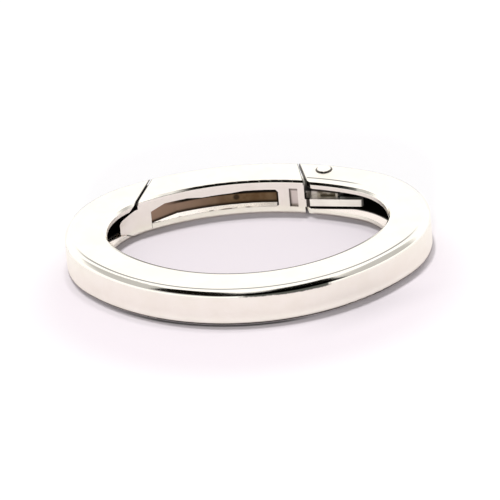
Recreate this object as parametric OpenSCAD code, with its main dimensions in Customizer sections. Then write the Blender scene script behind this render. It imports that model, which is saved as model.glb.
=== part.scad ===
// Oval spring clasp for shortening a strand: a flat oval ring of silver with a push-in gate.
// The gate swings into the opening on a pin that stands upright near its right end.
// The origin is under the middle of the ring, on the surface that it lies on.
// +X points to the hinge end, +Y to the gate, +Z up.

/* [Ring] */
// Half the distance between the centres of the two round ends
end_x = 5.6; // [5.2:0.2:6.4]
// Inner radius of the two round ends
end_r = 4.4; // [4.2:0.1:4.8]
// Width of the metal, seen from above
wall = 3; // [2.9:0.05:3.2]
// Height of the metal
height = 2.65; // [2.55:0.05:3]
// Rounding of the upper edge on the outside
top_round = 0.44; // [0.3:0.02:0.46]
// Rounding of the upper edge around the opening
inner_round = 0.3; // [0.16:0.02:0.36]
// Rounding of the lower edges
foot_round = 0.3; // [0.1:0.02:0.36]

/* [Channel] */
// Thickness of the flanges above and below the channel
flange = 0.5; // [0.44:0.02:0.54]
// Thickness of the wall behind the channel
channel_back = 0.5; // [0.4:0.05:0.7]

/* [Gate] */
// Gap between the gate's free end and the frame
latch_gap = 0.16; // [0.1:0.01:0.18]
// Place of the frame's free-end cut on the inner face, to the left of the middle
latch_x = -8.1; // [-8.2:0.05:-7.9]
// Lean of the free end's cut away from the Y axis, in degrees
latch_lean = 16; // [14:0.5:18]
// Gap between the gate's hinge end and the frame, on the inner face
heel_gap = 0.28; // [0.26:0.01:0.3]
// Place of the gate's hinge end on the inner face, to the right of the middle
heel_x = 3.95; // [3.8:0.05:4]
// Lean of the gate's hinge end away from the Y axis, in degrees
heel_lean = 8.5; // [7:0.5:9]
// How much further the frame leans there, which narrows the gap outwards, in degrees
heel_taper = 3; // [2.5:0.5:3]
// Length of the nose beyond the free end's cut
nose_l = 1.1; // [1:0.05:1.25]
// Depth of the nose, from the inner face outwards
nose_depth = 1.25; // [0.9:0.05:1.5]
// Depth of the long recess in the gate's inner face
recess_depth = 0.6; // [0.4:0.05:0.9]
// Height of the long recess
recess_h = 1.38; // [1:0.02:1.4]
// Depth of the small pocket beside it
pocket_depth = 0.22; // [0.1:0.02:0.4]

/* [Hinge] */
// Distance of the pin from the middle of the ring, to the right
pin_x = 5.42; // [5.3:0.02:5.5]
// Distance of the pin from the outer face of the ring
pin_inset = 0.99; // [0.96:0.01:1.05]
// Radius of the pin
pin_r = 0.6; // [0.45:0.05:0.6]
// Radial clearance of the pin in the gate's knuckle
pin_play = 0.04; // [0.02:0.01:0.06]
// Metal around the pin's hole in the knuckle
knuckle_wall = 0.28; // [0.22:0.01:0.3]
// Thickness of the tongue that joins the gate to its knuckle
tongue_h = 1.05; // [0.9:0.05:1.1]

/* [Leaf] */
// Length of the leaf
leaf_l = 3.85; // [3.4:0.05:4]
// Thickness of the leaf
leaf_t = 0.42; // [0.3:0.02:0.46]
// Height of the leaf
leaf_h = 0.56; // [0.4:0.02:0.6]
// Turn of the leaf away from the X axis, in degrees
leaf_turn = 8.5; // [7:0.5:10]

/* [Hidden] */

$fn = 96;

// The outline is four tangent arcs. Each side arc meets an end arc on a line through both centres.
// The front line falls 3 for every 4 across, and the back line rises 15 for every 8.
front_centre = end_x * 3 / 4;
front_r = end_r + end_x * 5 / 4;
back_centre = -end_x * 15 / 8;
back_r = end_r + end_x * 17 / 8;
reach = 15;
front_join = [end_x + reach * 4 / 3, -reach];
back_join = [end_x + reach * 8 / 15, reach];

// The ends' centre line lies behind the middle of the whole ring.
front_edge = front_r - front_centre + wall;
back_edge = back_r + back_centre + wall;
ends_y = (front_edge - back_edge) / 2;

// The channel has room for the nose, the tongue and the leaf.
channel_h = height - 2 * flange;
channel_depth = wall - channel_back;
channel_end = [end_x + 20, -9];

// The cuts start on the inner face of the ring.
latch_y = sqrt(end_r ^ 2 - (latch_x + end_x) ^ 2);
heel_y = sqrt(back_r ^ 2 - heel_x ^ 2) + back_centre;

// The pin stands on a line from the back arc's centre.
pin_line = back_r + wall - pin_inset;
pin_y = sqrt(pin_line ^ 2 - pin_x ^ 2) + back_centre;
knuckle_r = pin_r + pin_play + knuckle_wall;
slot_end = pin_x + knuckle_r + 0.3;

// Heights inside the channel, with running clearance over the lower flange
run_gap = 0.13;
tongue_z = flange + run_gap;
knuckle_h = channel_h - 2 * run_gap;
leaf_z = flange + 0.2;

// The nose seen from the front: it narrows from its root to a blunt, rounded tip
nose_left = latch_x - nose_l;
nose_foot = 0.1;
nose_top = height - flange - 0.05;
foot_run = 0.2;
tip_foot = flange + run_gap;
tip_foot_r = 0.24;
tip_top = nose_top - 0.28;
tip_top_r = 0.32;
nose_slope = (tip_foot - nose_foot) / (nose_l - tip_foot_r - foot_run);

// The lower flange ends on the same slope as the nose's underside. The upper one is undercut.
foot_gap = 0.12;
undercut = 0.28;

// Easing of the flanges' inner corners at the hinge end
corner_cut = 0.26;

// How far cutting shapes stand proud of what they cut
over = 0.1;

// The leaf starts past the gap at the hinge end. The tongue's upper step stands behind the leaf.
leaf_from = 0.36;
seat_l = 2.3;
step_back = 0.17;

// Cuts in the gate's inner face, as angles from the Y axis about the back arc's centre
recess_from = -25.5;
recess_slope_to = -17;
recess_to = 7.3;
recess_z = 0.6;
recess_corner = 0.38;
recess_dip = 0.15;
recess_ease = 0.2;
recess_start = 0.1;
pocket_from = 10.1;
pocket_to = 12.3;
pocket_z = 0.62;
pocket_h = 1.46;

// Rounded section of the metal, standing at a radius from an arc's centre
module section(inner_r) {
    half = height / 2;
    translate([inner_r, 0]) {
        translate([foot_round, 0]) square([wall - 2 * foot_round, half]);
        translate([0, foot_round]) square([wall, height - foot_round - top_round]);
        translate([0, half]) square([wall - top_round, half - inner_round]);
        translate([inner_round, half]) square([wall - inner_round - top_round, half]);
        for (x = [foot_round, wall - foot_round]) {
            translate([x, foot_round]) circle(foot_round);
        }
        translate([inner_round, height - inner_round]) circle(inner_round);
        translate([wall - top_round, height - top_round]) circle(top_round);
    }
}

// Plan of each arc's share of the ring
module front_share() {
    linear_extrude(height + 2) polygon([[0, front_centre], front_join, [-front_join.x, front_join.y]]);
}

module back_share() {
    linear_extrude(height + 2) polygon([[0, back_centre], back_join, [-back_join.x, back_join.y]]);
}

module end_share() {
    linear_extrude(height + 2) polygon([[end_x, 0], back_join, [front_join.x, reach], front_join]);
}

// One arc of a revolved shape: a full turn about the arc's centre, kept inside its share
module arc(centre) {
    intersection() {
        translate(centre) rotate_extrude() children(0);
        translate([0, 0, -1]) children(1);
    }
}

// The whole oval, before it is cut into frame and gate
module oval() {
    arc([0, front_centre, 0]) {
        section(front_r);
        front_share();
    }
    arc([0, back_centre, 0]) {
        section(back_r);
        back_share();
    }
    for (side = [0, 1]) mirror([side, 0, 0]) {
        arc([end_x, 0, 0]) {
            section(end_r);
            end_share();
        }
    }
}

// Room inside the frame's right side, open to the middle of the ring, before it is mirrored
module channel() {
    room = channel_depth + 1;
    arc([end_x, 0, 0]) {
        translate([end_r - 1, flange]) square([room, channel_h]);
        linear_extrude(height + 2) polygon([[end_x, 0], back_join, [front_join.x, reach], channel_end]);
    }
    arc([0, back_centre, 0]) {
        translate([back_r - 1, flange]) square([room, channel_h]);
        linear_extrude(height + 2) polygon([[0, back_centre], back_join, [0, reach]]);
    }
}

// Everything between two upright cuts, each of which starts on the inner face
module gate_room(latch_at, heel_at, heel_turn) {
    span = 14;
    latch_way = [sin(latch_lean), cos(latch_lean)];
    heel_way = [-sin(heel_turn), cos(heel_turn)];
    translate([0, 0, -1]) linear_extrude(height + 2) polygon([
        latch_at - latch_way * 3,
        latch_at + latch_way * span,
        heel_at + heel_way * span,
        heel_at - heel_way * 3
    ]);
}

// Turned square that takes an upright edge off, centred on the edge
module edge_cut(at, turn, size) {
    translate([at.x, at.y, 0]) rotate([0, 0, turn]) translate([-size / 2, -2, 0])
        cube([size, 4, height + 2]);
}

// Runs a shape that is drawn as seen from the front, x across and y up, from the middle outwards
module through_back(deep = 12) {
    translate([0, deep, 0]) rotate([90, 0, 0]) linear_extrude(deep) children();
}

module placed() {
    translate([0, ends_y, 0]) children();
}

module frame() {
    slot_from = heel_x - 2;
    color("silver") placed() difference() {
        oval();
        gate_room([latch_x, latch_y], [heel_x + heel_gap, heel_y], heel_lean + heel_taper);
        channel();
        mirror([1, 0, 0]) channel();
        // slot through the outer wall, where the knuckle turns
        translate([slot_from, pin_y - 1.4, flange]) cube([slot_end - slot_from, 4, channel_h]);
        translate([pin_x, pin_y, -1]) cylinder(r = pin_r + 0.01, h = height + 2);
        // the flanges' inner corners are eased, so that the gate's corner swings past them
        translate([0, 0, -1]) edge_cut([heel_x + heel_gap, heel_y], 43, corner_cut);
        foot_room();
        undercut_room();
    }
}

// Slope at the free end of the lower flange, which leaves room for the nose's underside
module foot_room() {
    foot_x = latch_x - foot_run - foot_gap + nose_foot / nose_slope;
    top = flange + over;
    through_back(latch_y + nose_depth + 0.5) polygon([
        [latch_x + 1, -1],
        [foot_x + 1 / nose_slope, -1],
        [foot_x - top / nose_slope, top],
        [latch_x + 1, top]
    ]);
}

// Lean of the upper flange's free end, which starts a little below the upper face
module undercut_room() {
    foot = height - flange;
    translate([latch_x, latch_y, 0]) rotate([0, 0, -latch_lean]) translate([0, -1, 0]) through_back()
        polygon([
            [undercut / 2, height + over],
            [-undercut, foot],
            [-undercut, foot - over],
            [undercut, foot - over],
            [undercut, height + over]
        ]);
}

module gate() {
    color("silver") placed() difference() {
        union() {
            intersection() {
                oval();
                gate_room([latch_x + latch_gap, latch_y], [heel_x, heel_y], heel_lean);
            }
            nose();
            tongue();
        }
        recess();
        pocket();
        translate([pin_x, pin_y, -1]) cylinder(r = pin_r + pin_play, h = height + 2);
    }
}

// Nose that slips between the frame's flanges when the gate shuts
module nose() {
    way = [sin(latch_lean), cos(latch_lean)];
    root = [latch_x + latch_gap + 0.2, latch_y];
    intersection() {
        linear_extrude(height) intersection() {
            translate([-end_x, 0]) difference() {
                circle(end_r + nose_depth);
                circle(end_r);
            }
            polygon([root - way, root + way * wall, [nose_left - 1, latch_y + wall], [nose_left - 1, 0]]);
        }
        through_back() {
            polygon([
                [latch_x + 1, nose_foot],
                [latch_x - foot_run, nose_foot],
                [nose_left + tip_foot_r, tip_foot],
                [nose_left, tip_foot + tip_foot_r],
                [nose_left, tip_top - tip_top_r],
                [nose_left + tip_top_r, tip_top],
                [latch_x, nose_top],
                [latch_x + 1, nose_top]
            ]);
            translate([nose_left + tip_foot_r, tip_foot + tip_foot_r]) circle(tip_foot_r);
            translate([nose_left + tip_top_r, tip_top - tip_top_r]) circle(tip_top_r);
        }
    }
}

// Tongue from the gate's hinge end into the frame's slot, with the knuckle round the pin
module tongue() {
    edge = pin_x + knuckle_r;
    front = heel_y + 0.6;
    back = leaf_t + step_back;
    far = leaf_t + 1.1;
    inset = 0.05;
    slant = 0.14;
    translate([0, 0, tongue_z]) {
        linear_extrude(tongue_h) {
            polygon([
                [heel_x - 1, front],
                [edge, front],
                [edge, pin_y],
                [pin_x, pin_y + knuckle_r],
                [heel_x - 1, pin_y + knuckle_r + slant]
            ]);
            at_leaf() polygon([
                [-0.6, 0.2],
                [-inset, inset],
                [leaf_from + inset, back],
                [seat_l, back],
                [seat_l + slant, back + slant],
                [seat_l, far],
                [-0.6, far]
            ]);
        }
        translate([pin_x, pin_y, 0]) cylinder(r = knuckle_r, h = knuckle_h);
    }
    // toe under the gap and seat for the leaf
    toe = 0.3;
    seat_t = 0.5;
    translate([0, 0, tongue_z]) linear_extrude(leaf_z + leaf_h - tongue_z) at_leaf() {
        translate([-toe, 0]) square([leaf_from + toe, leaf_t + seat_t]);
        translate([-toe, leaf_t]) square([seat_l + toe, seat_t]);
    }
}

// Places things from the gate's inner corner along the leaf
module at_leaf() {
    translate([heel_x, heel_y, 0]) rotate([0, 0, -leaf_turn]) children();
}

// Long recess in the gate's inner face, cut by hand: its floor rises to the face at the left end,
// and its upper edge drops there and dips a little halfway
module recess() {
    left = back_r * sin(recess_from);
    right = back_r * sin(recess_to);
    top = recess_z + recess_h;
    start = arm(back_r + recess_start, recess_from);
    stop = arm(back_r + recess_depth + over, recess_slope_to);
    before = start - (stop - start) / 2;
    function at(share, z) = [left + share * (right - left), z];
    intersection() {
        inner_cut(recess_from, recess_to, recess_depth, 0, height);
        linear_extrude(height) polygon([
            before, stop, [stop.x, reach], [right + 1, reach], [right + 1, 0], [before.x, 0]
        ]);
        through_back() polygon([
            at(-0.1, recess_z + recess_ease / 2),
            at(0.05, recess_z),
            at(0.98, recess_z),
            at(1.01, recess_z + recess_ease),
            at(1, top - recess_ease),
            at(0.98, top),
            at(0.73, top),
            at(0.64, top - recess_dip * 2 / 3),
            at(0.4, top - recess_dip),
            at(0.29, top),
            at(0.11, top),
            at(0, top - recess_corner),
            at(-0.1, top - recess_corner * 2)
        ]);
    }
}

// End of an arm of a given length, turned from the Y axis about the back arc's centre
function arm(length, turn) = [length * sin(turn), length * cos(turn) + back_centre];

module pocket() {
    inner_cut(pocket_from, pocket_to, pocket_depth, pocket_z, pocket_h);
}

// Cut along the back arc between two angles from the Y axis
module inner_cut(from, to, depth, z, h) {
    translate([0, back_centre, z]) rotate([0, 0, 90 - to]) rotate_extrude(angle = to - from)
        translate([back_r - 1, 0]) square([depth + 1, h]);
}

// Straight leaf along the mouth of the channel, with a round end
module gate_leaf() {
    color("lightgray") placed() translate([0, 0, leaf_z]) at_leaf() translate([leaf_from, 0, 0]) {
        cube([leaf_l - leaf_t / 2, leaf_t, leaf_h]);
        translate([leaf_l - leaf_t / 2, leaf_t / 2, 0]) cylinder(d = leaf_t, h = leaf_h);
    }
}

module hinge_pin() {
    rim = 0.06;
    color("gainsboro") placed() translate([pin_x, pin_y, 0]) {
        cylinder(r1 = pin_r - rim, r2 = pin_r, h = rim);
        translate([0, 0, rim]) cylinder(r = pin_r, h = height - 2 * rim);
        translate([0, 0, height - rim]) cylinder(r1 = pin_r, r2 = pin_r - rim, h = rim);
    }
}

frame();
gate();
gate_leaf();
hinge_pin();
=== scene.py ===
import math

import bmesh
import bpy
from mathutils import Matrix, Vector


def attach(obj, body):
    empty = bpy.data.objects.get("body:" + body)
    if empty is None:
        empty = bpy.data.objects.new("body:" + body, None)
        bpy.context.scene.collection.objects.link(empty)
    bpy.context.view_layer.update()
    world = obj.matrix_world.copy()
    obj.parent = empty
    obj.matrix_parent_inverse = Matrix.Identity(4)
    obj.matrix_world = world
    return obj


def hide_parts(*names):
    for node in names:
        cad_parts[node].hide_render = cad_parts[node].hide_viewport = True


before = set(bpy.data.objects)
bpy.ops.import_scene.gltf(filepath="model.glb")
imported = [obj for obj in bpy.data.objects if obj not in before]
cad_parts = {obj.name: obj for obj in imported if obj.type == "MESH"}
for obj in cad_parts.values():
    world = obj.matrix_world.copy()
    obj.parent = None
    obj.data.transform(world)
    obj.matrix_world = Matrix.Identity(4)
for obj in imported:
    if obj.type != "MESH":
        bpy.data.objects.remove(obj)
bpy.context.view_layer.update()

# The camera. A long lens looks down on the front of the ring from 29 degrees up, a little from the right,
# and it is tipped 5 degrees, so the hinge end stands higher in the picture.
MM = 0.001
degree = math.radians(1)
picture_px = 500
px_per_mm = 14.09
elevation = 29 * degree
azimuth = 3.1 * degree
tip = 5 * degree
camera_away = 639 * MM
aim_above = 0.298 * MM
ring_middle = Vector((0, 0.7, 0)) * MM

back = Vector((
    math.sin(azimuth) * math.cos(elevation),
    -math.cos(azimuth) * math.cos(elevation),
    math.sin(elevation),
))
level = Vector((math.cos(azimuth), math.sin(azimuth), 0))
upright = back.cross(level)
right = level * math.cos(tip) - upright * math.sin(tip)
up = level * math.sin(tip) + upright * math.cos(tip)
aim = ring_middle + up * aim_above

lens = bpy.data.cameras.new("camera")
lens.sensor_width = 36
lens.lens = lens.sensor_width * camera_away / MM * px_per_mm / picture_px
lens.clip_start = 0.01
lens.clip_end = 20
camera = bpy.data.objects.new("camera", lens)
place = Matrix((right, up, back)).transposed().to_4x4()
place.translation = aim + back * camera_away
camera.matrix_world = place
bpy.context.scene.collection.objects.link(camera)
bpy.context.scene.camera = camera
bpy.context.scene.view_settings.view_transform = "Standard"


# The floor. A matt white sheet, painted a little darker and cooler in its middle around the ring, as
# painted shade. A thin dark line painted along the ring's foot in front is a painted contact shadow, and a
# soft grey patch to its right is a painted soft shadow.
class Wire:
    """One output in a material. The usual signs between two, or with a number, add a Math node."""

    def __init__(self, tree, socket=None):
        self.tree = tree
        self.socket = socket

    def node(self, kind, settings, inputs, out=0):
        made = self.tree.nodes.new(kind)
        for name, value in settings.items():
            setattr(made, name, value)
        for name, value in inputs.items():
            if isinstance(value, Wire):
                self.tree.links.new(value.socket, made.inputs[name])
            else:
                made.inputs[name].default_value = value
        return Wire(self.tree, made.outputs[out] if made.outputs else None)

    def math(self, operation, *values):
        return self.node("ShaderNodeMath", {"operation": operation}, dict(enumerate(values)))

    def __add__(self, other):
        return self.math("ADD", self, other)

    def __radd__(self, other):
        return self.math("ADD", other, self)

    def __sub__(self, other):
        return self.math("SUBTRACT", self, other)

    def __rsub__(self, other):
        return self.math("SUBTRACT", other, self)

    def __mul__(self, other):
        return self.math("MULTIPLY", self, other)

    def __rmul__(self, other):
        return self.math("MULTIPLY", other, self)

    def __truediv__(self, other):
        return self.math("DIVIDE", self, other)

    def __pow__(self, other):
        return self.math("POWER", self, other)

    def __gt__(self, other):
        return self.math("GREATER_THAN", self, other)

    def __lt__(self, other):
        return self.math("LESS_THAN", self, other)

    def __abs__(self):
        return self.math("ABSOLUTE", self)

    def larger(self, other):
        """This or the other, whichever is larger. Of two masks, it is where either of them is."""
        return self.math("MAXIMUM", self, other)

    def rise(self, start, end):
        """0 at start, 1 at end, and a soft step between them."""
        steps = {0: self, 1: start, 2: end}
        return self.node("ShaderNodeMapRange", {"interpolation_type": "SMOOTHSTEP"}, steps)

    def between(self, start, end, soft):
        """1 from start to end, and 0 outside them, with steps this soft."""
        return self.rise(start - soft, start + soft) * self.rise(end + soft, end - soft)

    def tint(self, low, high):
        """The colour from low to high, by this value from 0 to 1."""
        return self.node("ShaderNodeMix", {"data_type": "RGBA"}, {0: self, 6: low, 7: high}, out=2)

    def turned(self, plain, other):
        """The direction from plain to other, by this value from 0 to 1."""
        return self.node("ShaderNodeMix", {"data_type": "VECTOR"}, {0: self, 4: plain, 5: other}, out=1)

    def along(self, axis):
        """The part of a place or direction along X, Y or Z, which are 0, 1 and 2."""
        return self.node("ShaderNodeSeparateXYZ", {}, {0: self}, out=axis)

    def vector(self, operation, *values, out="Vector"):
        return self.node("ShaderNodeVectorMath", {"operation": operation}, dict(enumerate(values)), out)

    def stretch(self, by):
        """A place or direction, times three numbers."""
        return self.vector("MULTIPLY", self, by)

    def length(self):
        return self.vector("LENGTH", self, out="Value")

    def noise(self, scale, detail=2.0, roughness=0.5):
        sockets = {"Vector": self, "Scale": scale, "Detail": detail, "Roughness": roughness}
        return self.node("ShaderNodeTexNoise", {}, sockets)


def new_finish(name):
    """An empty material and a place on the surface, in millimetres in the ring's own frame."""
    finish = bpy.data.materials.new(name)
    finish.use_nodes = True
    finish.node_tree.nodes.clear()
    start = Wire(finish.node_tree)
    per_mm = (1 / MM, 1 / MM, 1 / MM)
    spot = start.node("ShaderNodeTexCoord", {}, {}, out="Object").stretch(per_mm)
    return finish, spot


def close_finish(spot, inputs):
    """The material's shader and its end, from the shader's sockets."""
    shader = spot.node("ShaderNodeBsdfPrincipled", {}, inputs)
    spot.node("ShaderNodeOutputMaterial", {}, {"Surface": shader})


floor_half = 2.0
floor_mesh = bpy.data.meshes.new("floor")
floor_mesh.from_pydata(
    [(x * floor_half, y * floor_half, 0) for x, y in ((-1, -1), (1, -1), (1, 1), (-1, 1))],
    [],
    [(0, 1, 2, 3)],
)
floor = bpy.data.objects.new("floor", floor_mesh)
bpy.context.scene.collection.objects.link(floor)

clean_white = (0.99, 0.98, 0.99, 1)
shaded_paper = (0.9, 0.835, 0.875, 1)
shaded_paper_grain = (0.915, 0.85, 0.89, 1)
contact_shadow_grey = (0.2, 0.19, 0.19, 1)
black = (0, 0, 0, 1)
shade_in, shade_out = 12.5, 18
front_centre_y, front_r, wall = 4.9, 11.4, 3.0
soft_shadow_share = 0.17
paper, spot = new_finish("floor_paper")
x, y = spot.along(0), spot.along(1)
sheet_away = spot.vector("ADD", spot, (0, 4, 0)).stretch((1, 1.2, 0)).length()
# Painted shade: the paper is darker and cooler near the ring, with a random grain, and clean white further
# out.
shaded_sheet = spot.noise(6, detail=4).tint(shaded_paper, shaded_paper_grain)
sheet = sheet_away.rise(shade_in, shade_out).tint(shaded_sheet, clean_white)
from_front = spot.vector("ADD", spot, (0, -front_centre_y, 0)).stretch((1, 1, 0)).length()
past_foot = from_front - (front_r + wall)
# Painted contact shadow: a thin dark grey line on the paper just past the ring's foot along its front.
painted_contact_shadow = past_foot.between(-0.14, 0.13, 0.1) * x.rise(5.5, 2) * x.rise(-11.5, -6) * y.rise(-3, -5)
# Painted soft shadow: the paper is darkened softly off the ring's right front.
painted_soft_shadow = past_foot.rise(3.8, 0.3) * x.rise(2, 9) * y.rise(-4, -8) * soft_shadow_share
close_finish(spot, {
    "Base Color": painted_contact_shadow.tint(painted_soft_shadow.tint(sheet, black), contact_shadow_grey),
    "Roughness": 0.9,
    "Specular IOR Level": 0.1,
})
floor_mesh.materials.append(paper)

# The light. A white tent all round that shows brighter in metal than it lights the floor, two small lamps
# high behind, a low one in front that looks in under the gate, and a dark screen in front, which draws
# the dark lines on the polished edges.
tent_light, tent_mirrored = 0.39, 1.24
tent = bpy.data.worlds.new("tent")
tent.use_nodes = True
mirrored = Wire(tent.node_tree).node("ShaderNodeLightPath", {}, {}, out="Is Glossy Ray")
scattered = mirrored.node("ShaderNodeLightPath", {}, {}, out="Diffuse Depth")
mirrored = mirrored * (scattered < 0.5)
strength = mirrored * (tent_mirrored - tent_light) + tent_light
background = tent.node_tree.nodes["Background"]
background.inputs["Color"].default_value = (1, 1, 1, 1)
tent.node_tree.links.new(strength.socket, background.inputs["Strength"])
bpy.context.scene.world = tent


def hang_lamp(name, energy, lift, turn, spread):
    """A lamp this far up, and this far round to the left from straight behind the ring, in degrees."""
    lift, turn = lift * degree, turn * degree
    lamp = bpy.data.lights.new(name, "SUN")
    lamp.energy = energy
    lamp.angle = spread * degree
    towards = Vector((-math.sin(turn) * math.cos(lift), math.cos(turn) * math.cos(lift), math.sin(lift)))
    hung = bpy.data.objects.new(name, lamp)
    hung.rotation_euler = towards.to_track_quat("Z", "Y").to_euler()
    hung.visible_glossy = False
    bpy.context.scene.collection.objects.link(hung)


hang_lamp("top_lamp", energy=1.5, lift=75, turn=18, spread=6)
hang_lamp("rear_lamp", energy=0.52, lift=67, turn=-12, spread=7)
hang_lamp("low_lamp", energy=1.2, lift=12, turn=176, spread=8)

screen_away = 0.4
screen_low, screen_high = -2 * degree, 88 * degree
half_turn = 180 * degree
columns, rows = 72, 24
points = []
for row in range(rows + 1):
    lift = screen_low + (screen_high - screen_low) * row / rows
    for column in range(columns + 1):
        turn = azimuth + half_turn * (2 * column / columns - 1)
        points.append((
            screen_away * math.cos(lift) * math.sin(turn),
            -screen_away * math.cos(lift) * math.cos(turn),
            screen_away * math.sin(lift),
        ))
faces = []
for row in range(rows):
    for column in range(columns):
        corner = row * (columns + 1) + column
        faces.append((corner, corner + 1, corner + columns + 2, corner + columns + 1))
screen_mesh = bpy.data.meshes.new("dark_screen")
screen_mesh.from_pydata(points, [], faces)
screen = bpy.data.objects.new("dark_screen", screen_mesh)
bpy.context.scene.collection.objects.link(screen)
screen.visible_camera = False
screen.visible_diffuse = False
screen.visible_shadow = False

side_share = 0.52
cloth_black = (0.004, 0.0035, 0.0025, 1)
cloth, spot = new_finish("dark_cloth")
x, y, z = (spot.along(axis) for axis in range(3))
lift = spot.math("ARCTAN2", z, (x * x + y * y) ** 0.5)
turn = spot.math("ARCTAN2", x, y * -1) - azimuth
side = abs(turn + 7 * degree)
lift = lift + turn.rise(-45 * degree, -15 * degree) * (6 * degree)
wider = turn.rise(0, 28 * degree)
front_dark = (lift + wider * (8 * degree)).rise(38 * degree, 44 * degree)
front_dark = front_dark * (lift - wider * (4 * degree)).rise(69 * degree, 63 * degree)
front_dark = front_dark * side.rise(68 * degree, 61 * degree)
side_grey = lift.rise(24 * degree, 34 * degree) * lift.rise(64 * degree, 54 * degree)
side_grey = side_grey * side.rise(124 * degree, 106 * degree) * side_share
clear = spot.node("ShaderNodeBsdfTransparent", {}, {})
dark = spot.node("ShaderNodeEmission", {}, {"Color": cloth_black})
cover = spot.node("ShaderNodeMixShader", {}, {0: front_dark.larger(side_grey), 1: clear, 2: dark})
spot.node("ShaderNodeOutputMaterial", {}, {"Surface": cover})
screen_mesh.materials.append(cloth)

# The frame. Cast and polished silver, a C-shaped piece with a channel cut along its inner side at both
# ends. The inside of the channel and the faces in the saw cuts are painted near black, as painted shade.
back_centre_y, back_r = -9.8, 16.3
end_x, end_y, end_r = 5.6, 0.7, 4.4
front_slope, back_slope = 0.75, 1.875
height = 2.65
outer_round, other_round = 0.44, 0.3


def ring_place(x, y):
    """How far into the metal a spot lies from the ring's inner face, and the outward direction there. The
    ring is four arcs, which meet on lines of these slopes through the front's and the back's centres."""
    in_front = front_centre_y - y - abs(x) * front_slope > 0
    in_rear = (y - back_centre_y - abs(x) * back_slope > 0) * (1 - in_front)
    at_end = 1 - in_front - in_rear
    across = x - x.math("SIGN", x) * at_end * end_x
    along = y - in_front * front_centre_y - in_rear * back_centre_y - at_end * end_y
    away = (across * across + along * along) ** 0.5
    depth = away - in_front * front_r - in_rear * back_r - at_end * end_r
    return depth, across / away, along / away


def to_world(across, along, upward):
    """A direction in the world, from its three parts in the ring's own frame."""
    direction = across.node("ShaderNodeCombineXYZ", {}, {0: across, 1: along, 2: upward})
    turned = direction.node(
        "ShaderNodeVectorTransform",
        {"vector_type": "NORMAL", "convert_from": "OBJECT", "convert_to": "WORLD"},
        {0: direction},
    )
    return turned.vector("NORMALIZE", turned)


def leaning(across, along, angle):
    """The direction at this angle from upright, towards the outward direction of a spot."""
    lean = angle.math("SINE", angle)
    return to_world(across * lean, along * lean, angle.math("COSINE", angle))


def ring_skin(x, y, z, bevel_from, bevel_to, skin_end):
    """The normal of the ring's rounded section, true at every spot where the CAD has flat facets, then
    where the section turns, and where it is. The edges were filed as soft bevels, the upper inner one
    between these two angles of its rounding, and the foot flares a little. It ends at skin_end along X."""
    bevel_share, flare_share, wall_lean, foot_share = 0.225, 0.2, 0.13, 0.3
    depth, across, along = ring_place(x, y)
    radius = (depth > wall / 2) * (z > height / 2) * (outer_round - other_round) + other_round
    outward = (depth - wall + radius).larger(0) - (radius - depth).larger(0)
    over, under = (z - height + radius).larger(0), (radius - z).larger(0)
    upward = over - under * foot_share
    flat_wall = upward < 0.1
    inner_edge = (depth < wall / 2) * (z > height / 2)
    inner_wall = (depth < wall / 2) * flat_wall

    cut_tilt = outward.math("ARCTAN2", outward, over - under)
    tilt = outward.math("ARCTAN2", outward, upward)
    swing = abs(tilt)
    flare = z.rise(1.0, 0.3) * outward.math("SIGN", outward) * flat_wall
    bevel_lean = x.rise(-2, -6) * (9 * degree) - 50 * degree
    bevel = swing.rise((bevel_from - 10) * degree, bevel_from * degree) * bevel_lean
    past_bevel = swing.rise(bevel_to * degree, (bevel_to + 12) * degree)
    bevel = bevel - past_bevel * (bevel_lean + 90 * degree)
    bevelled = tilt + tilt.math("SINE", tilt * 4) * bevel_share
    tilt = bevelled - flare * flare_share + inner_wall * wall_lean
    tilt = tilt * (1 - inner_edge) + bevel * inner_edge

    round_skin, smooth = (leaning(across, along, angle) for angle in (cut_tilt, tilt))
    facet = x.node("ShaderNodeNewGeometry", {}, {}, out="True Normal")
    plain = x.node("ShaderNodeNewGeometry", {}, {}, out="Normal")
    on_skin = facet.vector("DOT_PRODUCT", round_skin, facet, out="Value") > 0.8
    on_skin = on_skin * (outward * outward + upward * upward > 0.04) * (x < skin_end)
    rounding = outward * upward
    edge = on_skin * (upward > 0) * (rounding * rounding).rise(0.0, 0.0002)
    return on_skin.turned(plain, smooth), edge, on_skin


def polished_tint(spot):
    """The colour of the silver, a little uneven where hands and polish have left it."""
    silver, yellowed = (0.95, 0.91, 0.83, 1), (0.92, 0.875, 0.785, 1)
    return spot.noise(0.55, detail=4, roughness=0.6).rise(0.3, 0.7).tint(silver, yellowed)


def polish(spot, skin, edge):
    """Roughness and normal of hand-finished silver: satin flats with soft waves and hairlines, and edges
    that shine."""
    satin, shine = 0.34, 0.09
    waves = spot.noise(0.35, detail=1)
    hairs = spot.stretch((1, 1, 6)).noise(5, detail=6, roughness=0.65)
    mist = spot.noise(0.8, detail=3)
    flats = satin + mist.rise(0.35, 0.7) * 0.08 + hairs.rise(0.55, 0.75) * 0.06
    normal = spot.node("ShaderNodeBump", {}, {
        "Strength": 0.35,
        "Distance": 0.1 * MM,
        "Height": waves * 0.6 + hairs * 0.02,
        "Normal": skin,
    })
    return flats * (1 - edge) + edge * shine, normal


def lean_inward(x, y, normal, share):
    """The normal of a ledge, turned by this share towards the ring's middle, as worn ledges slope."""
    across, along = ring_place(x, y)[1:]
    inward = to_world(across * -1, along * -1, across * across * 0.6 + 0.33)
    return share.turned(normal, inward)


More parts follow.
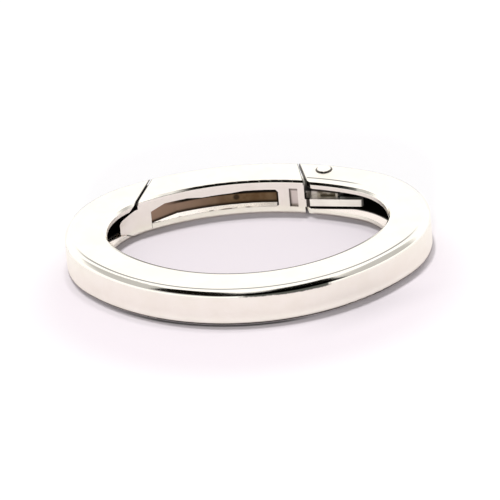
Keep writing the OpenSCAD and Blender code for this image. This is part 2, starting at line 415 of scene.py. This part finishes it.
def cut_rim(x, y):
    """Where the upper face beside the two saw cuts is painted dark grey, painted shade that widens each
    cut's dark line. The right cut narrows to the back.
    """
    left_cut = (-8.02, 4.32, 16 * degree, 0.08, 0)
    right_cut = (4.09, 6.01, -10 * degree, 0.14, 0.027)
    rims = []
    for cut_x, cut_y, slant, half_gap, taper in (left_cut, right_cut):
        aside = (x - cut_x) * math.cos(slant) - (y - cut_y) * math.sin(slant)
        past = abs(aside) - half_gap + (y - cut_y) * taper
        rims.append(past.rise(0.06, 0.02))
    return rims[0].larger(rims[1]) * (y > 3)


channel_shade_black = (0.012, 0.008, 0.006, 1)
gap_shade_black = (0.06, 0.052, 0.045, 1)
cut_shade_and_seam_grey = (0.2, 0.185, 0.17, 1)
reflected_line_grey = (0.2, 0.19, 0.18, 1)
edge_reflection_grey = (0.12, 0.11, 0.1, 1)
dark_reflection_black = (0.03, 0.035, 0.025, 1)
foot_shade_grey = (0.1, 0.09, 0.085, 1)
lip_silver = (0.82, 0.74, 0.68, 1)
lip_shade_brown = (0.45, 0.34, 0.26, 1)
leaf_x, leaf_y, leaf_slope = 3.95, 6.0, math.tan(8.5 * degree)
lip_top = 0.49
frame_silver, spot = new_finish("frame_silver")
x, y, z = (spot.along(axis) for axis in range(3))
depth = ring_place(x, y)[0]
normal, edge, on_skin = ring_skin(x, y, z, bevel_from=32, bevel_to=68, skin_end=20)
cut = 1 - on_skin
in_front, in_rear = y.rise(-1, -4), y > 3
# Painted shadow: where the lower flange lies under the leaf it is left out of the lip and takes the
# channel's near black.
leaf_shadow = (y - leaf_y + (x - leaf_x) * leaf_slope).rise(-0.06, 0.02) * (x > 4.2) * (x < 8.2)
lip = cut * z.between(0.4, 0.55, 0.02) * depth.rise(0.85, 0.6) * (1 - leaf_shadow)
low_cut = cut * (z < lip_top) * (z > 0.01) * x.between(3.9, 4.8, 0.01) * in_rear * depth.rise(1.2, 0.9)
# Painted shade: the inside of the channel, between the flanges, is painted near black.
channel = cut * z.between(0.44, 2.2, 0.02) * depth.between(0.08, 2.62, 0.05) * (1 - lip)
# Painted shade: the cut faces at the back, high up and at the outer side, which face the saw gaps, are
# painted near black.
sawn = cut * (z > 2.2).larger(depth > 2.55) * in_rear
top = on_skin * (z > 2.4)
# Painted reflection: the front's upper inner edge is painted dark grey.
inner_edge_reflection = top * in_front * depth.between(0.0, 0.32, 0.05)
# Painted reflection: thin grey lines are painted on the top face, near the front's outer edge and near the
# hinge.
reflected_lines = top * in_front * depth.between(2.4, 2.52, 0.03)
reflected_lines = reflected_lines + top * in_rear * (x > 4.2) * depth.between(0.63, 0.76, 0.03) * x.rise(8.4, 7)
ragged = (spot.noise(3, detail=3) - 0.5) * 0.3
# Painted reflection: a ragged black band is painted along the front's upper outer edge, from its middle to
# the right.
front_edge_reflection = on_skin * in_front * (depth > 1.5) * (x + ragged * 2).rise(-0.7, 0.2)
front_edge_reflection = front_edge_reflection * (x + ragged * 3).rise(6.1, 5.7) * z.rise(2.52, 2.46)
front_edge_reflection = front_edge_reflection * (z + x.rise(0.5, 4) * 0.1 + ragged * 0.5).rise(2.19, 2.29)
# Painted shade: the lowest part of the front's foot is painted dark grey.
foot = on_skin * in_front * z.rise(0.22, 0.15)
colour = polished_tint(spot)
colour = inner_edge_reflection.tint(colour, edge_reflection_grey)
colour = reflected_lines.tint(colour, reflected_line_grey)
colour = (front_edge_reflection * 0.93).tint(colour, dark_reflection_black)
# Painted shade: the top face beside the saw cuts is painted dark grey.
colour = (top * cut_rim(x, y)).tint(colour, cut_shade_and_seam_grey)
colour = foot.tint(colour, foot_shade_grey)
# Painted shade: the lower lip of the left channel is painted browner and darker deeper into the channel.
colour = lip.tint(colour, (depth.rise(0.5, 0.8) * (x < 0)).tint(lip_silver, lip_shade_brown))
colour = channel.tint(colour, channel_shade_black)
colour = sawn.tint(colour, gap_shade_black)
roughness, normal = polish(spot, lean_inward(x, y, normal, lip.larger(low_cut)), edge)
close_finish(spot, {
    "Base Color": colour,
    "Metallic": 1 - channel * 0.6,
    "Roughness": roughness + channel * 0.4 - lip * 0.2,
    "Normal": normal,
    "Specular IOR Level": 0.12,
})
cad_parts["frame"].material_slots[0].material = frame_silver

# The gate. The same silver, sprung on its pin, with a long recess left raw and brown from the casting,
# a small shallow pocket beside it, a nose at its free end and a tongue that runs into the frame.
recess_left, recess_right = -25.7 * degree, 7.5 * degree
pocket_left, pocket_right = 10 * degree, 12.4 * degree
ledge_z, recess_roof = 0.63, 2.1
raw_brown, raw_light = (0.14, 0.08, 0.036, 1), (0.21, 0.135, 0.072, 1)
raw_shallow = (0.36, 0.24, 0.17, 1)
recess_shade_black = (0.01, 0.007, 0.004, 1)
matt_silver = (0.95, 0.89, 0.83, 1)
ledge_brown = (0.14, 0.1, 0.075, 1)
pocket_pale, pocket_grey = (0.72, 0.65, 0.59, 1), (0.27, 0.24, 0.21, 1)
tongue_shade_dark, tongue_shade_pale = (0.22, 0.19, 0.14, 1), (0.7, 0.65, 0.56, 1)
tongue_lit_silver = (0.85, 0.8, 0.74, 1)
gate_silver, spot = new_finish("gate_silver")
x, y, z = (spot.along(axis) for axis in range(3))
depth = ring_place(x, y)[0]
normal, edge, on_skin = ring_skin(x, y, z, bevel_from=10, bevel_to=48, skin_end=4.05)
cut = 1 - on_skin
turn = spot.math("ARCTAN2", x, y - back_centre_y)
seen_z = z + depth * math.tan(elevation)
mottle = spot.noise(1.1, detail=4, roughness=0.6)

within = cut * turn.between(recess_left, recess_right, 0.001) * depth.between(0.02, 0.8, 0.02)
recess = within * z.between(ledge_z, recess_roof, 0.01)
ledge = within * z.between(0.5, ledge_z, 0.01)
floor_depth = turn.rise(-25.5 * degree, -17 * degree) * 0.5 + 0.1
on_floor = (depth - floor_depth).rise(-0.16, -0.05)
pit = ((x + 0.97) ** 2 + (z - 1.2) ** 2) ** 0.5
# Painted shade: the recess walls, a strip under its roof, its lower edge and its right end are painted near
# black, with a small dark dot.
shaded = seen_z.rise(1.7, 1.82) * turn.rise(-22 * degree, -16 * degree)
shaded = shaded.larger(z.rise(0.92, 0.74) * 0.85)
shaded = shaded.larger(turn.rise(6.2 * degree, 6.8 * degree))
shaded = shaded.larger(pit.rise(0.32, 0.12) * 0.8)
raw = mottle.rise(0.3, 0.7).tint(raw_brown, raw_light)
raw = turn.rise(-2 * degree, -20 * degree).tint(raw, raw_shallow)
raw = (on_floor * (1 - shaded)).tint(recess_shade_black, raw)
stain = spot.noise(0.9, detail=2).rise(0.5, 0.6) * depth.rise(0.22, 0.08)
stain = stain.larger(turn.rise(0, 6 * degree) * 0.4)

pocket = cut * turn.between(pocket_left, pocket_right, 0.001)
pocket = pocket * z.between(0.55, 2.15, 0.01) * depth.between(0.02, 0.4, 0.02)
pocket_shade = turn.rise(10.7 * degree, 10.2 * degree).larger(seen_z.rise(1.85, 2.02))
pocket_shade = pocket_shade.larger(depth < 0.17)

# Painted shade: the gate's cut ends above the lower flange, which face the gaps, are painted near black.
ends = cut * (z > 0.62) * (1 - turn.between(-28 * degree, 13 * degree, 0.01))
tongue = ends * (x > 4.05) * depth.rise(0.2, 0.3)
# Painted light and shade: the tongue is painted a mottled grey darker than the silver, as painted shade
# inside the channel; lighter silver near the channel's mouth and in one small spot, as painted light; and
# near black where it runs in under the roof.
tongue_lit = x.rise(4.95, 4.75).larger(x.between(6.15, 6.6, 0.05) * z.between(1.15, 1.45, 0.06))
tongue_shade = mottle.rise(0.42, 0.58).tint(tongue_shade_dark, tongue_shade_pale)
tongue_shade = (tongue_lit * (depth < 1.2)).tint(tongue_shade, tongue_lit_silver)
tongue_shade = seen_z.rise(1.9, 2.0).tint(tongue_shade, gap_shade_black)
seam = on_skin * turn.between(-25.6 * degree, -25.3 * degree, 0.002) * z.between(0.25, 0.6, 0.05)

# Painted shade: the top face beside the saw cut is painted dark grey; the seam line is a dark joint.
colour = (on_skin * (z > 2.4) * cut_rim(x, y)).tint(polished_tint(spot), cut_shade_and_seam_grey)
colour = (seam * 0.5).tint(colour, cut_shade_and_seam_grey)
colour = recess.tint(colour, raw)
colour = ledge.tint(colour, stain.tint(matt_silver, ledge_brown))
colour = pocket.tint(colour, pocket_shade.tint(pocket_pale, pocket_grey))
colour = ends.tint(colour, gap_shade_black)
colour = tongue.tint(colour, tongue_shade)
roughness, normal = polish(spot, lean_inward(x, y, normal, ledge), edge)
close_finish(spot, {
    "Base Color": colour,
    "Metallic": 1 - recess * 0.8,
    "Roughness": roughness + recess * 0.45 - ledge * 0.2,
    "Normal": normal,
    "Specular IOR Level": 0.12,
})
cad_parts["gate"].material_slots[0].material = gate_silver

# The leaf. A flat strip of bright silver along the mouth of the right channel, fixed to the gate's
# tongue. It is bowed a little, so that it mirrors the tent over the front of the ring.
leaf_bow = (0, 0, 0.36)
leaf_bright, leaf_warm = (0.98, 0.93, 0.87, 1), (0.93, 0.87, 0.8, 1)
leaf_silver, spot = new_finish("leaf_silver")
bowed = spot.node("ShaderNodeNewGeometry", {}, {}, out="Normal")
bowed = bowed.vector("NORMALIZE", bowed.vector("ADD", bowed, leaf_bow))
roughness, normal = polish(spot, bowed, 0.0)
close_finish(spot, {
    "Base Color": spot.noise(1.5, detail=3).tint(leaf_bright, leaf_warm),
    "Metallic": 0.85,
    "Roughness": roughness,
    "Normal": normal,
})
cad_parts["gate_leaf"].material_slots[0].material = leaf_silver

# The hinge pin. A plain silver pin through both flanges and the knuckle. Its upper end has a low bevelled
# head that stands a hair above the frame, and its lower end is filed flush.
pin_x, pin_y, pin_r = 5.42, 7.6894, 0.6
pin_sides = 72
foot_bevel = 0.05
head_low, head_high, head_in, head_crown = 0.02, 0.11, 0.13, 0.02
profile = [
    (0, 0),
    (pin_r - foot_bevel, 0),
    (pin_r, foot_bevel),
    (pin_r, height - head_low),
    (pin_r - head_in, height + head_high),
    (0, height + head_high + head_crown),
]
pin_shape = bmesh.new()
rings = []
for radius, at_z in profile:
    if radius == 0:
        rings.append([pin_shape.verts.new((pin_x * MM, pin_y * MM, at_z * MM))])
        continue
    rings.append([
        pin_shape.verts.new((
            (pin_x + radius * math.cos(360 * degree * side / pin_sides)) * MM,
            (pin_y + radius * math.sin(360 * degree * side / pin_sides)) * MM,
            at_z * MM,
        ))
        for side in range(pin_sides)
    ])
for below, above in zip(rings, rings[1:]):
    for side in range(pin_sides):
        after = (side + 1) % pin_sides
        if len(below) == 1:
            pin_shape.faces.new((below[0], above[after], above[side]))
        elif len(above) == 1:
            pin_shape.faces.new((below[side], below[after], above[0]))
        else:
            pin_shape.faces.new((below[side], below[after], above[after], above[side]))
for face in pin_shape.faces:
    face.smooth = True
for edge_of_pin in pin_shape.edges:
    low_end, high_end = (corner.co.z for corner in edge_of_pin.verts)
    edge_of_pin.smooth = abs(low_end - high_end) > 0.001 * MM
pin_mesh = bpy.data.meshes.new("domed_pin")
pin_shape.to_mesh(pin_mesh)
pin_shape.free()
domed_pin = bpy.data.objects.new("domed_pin", pin_mesh)
bpy.context.scene.collection.objects.link(domed_pin)

head_reflection_grey = (0.12, 0.105, 0.09, 1)
pin_silver, spot = new_finish("pin_silver")
y, z = spot.along(1), spot.along(2)
# Painted reflection: the front half of the pin's head is painted dark grey, as its bevel would mirror the
# dark screen.
head_dark_reflection = z.between(height - 0.2, height + head_high - 0.015, 0.01) * y.rise(pin_y + 0.3, pin_y + 0.05)
plain_normal = spot.node("ShaderNodeNewGeometry", {}, {}, out="Normal")
roughness, normal = polish(spot, plain_normal, 0.6)
close_finish(spot, {
    "Base Color": head_dark_reflection.tint(polished_tint(spot), head_reflection_grey),
    "Metallic": 1.0,
    "Roughness": roughness,
    "Normal": normal,
})
pin_mesh.materials.append(pin_silver)
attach(domed_pin, "frame")
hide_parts("hinge_pin")
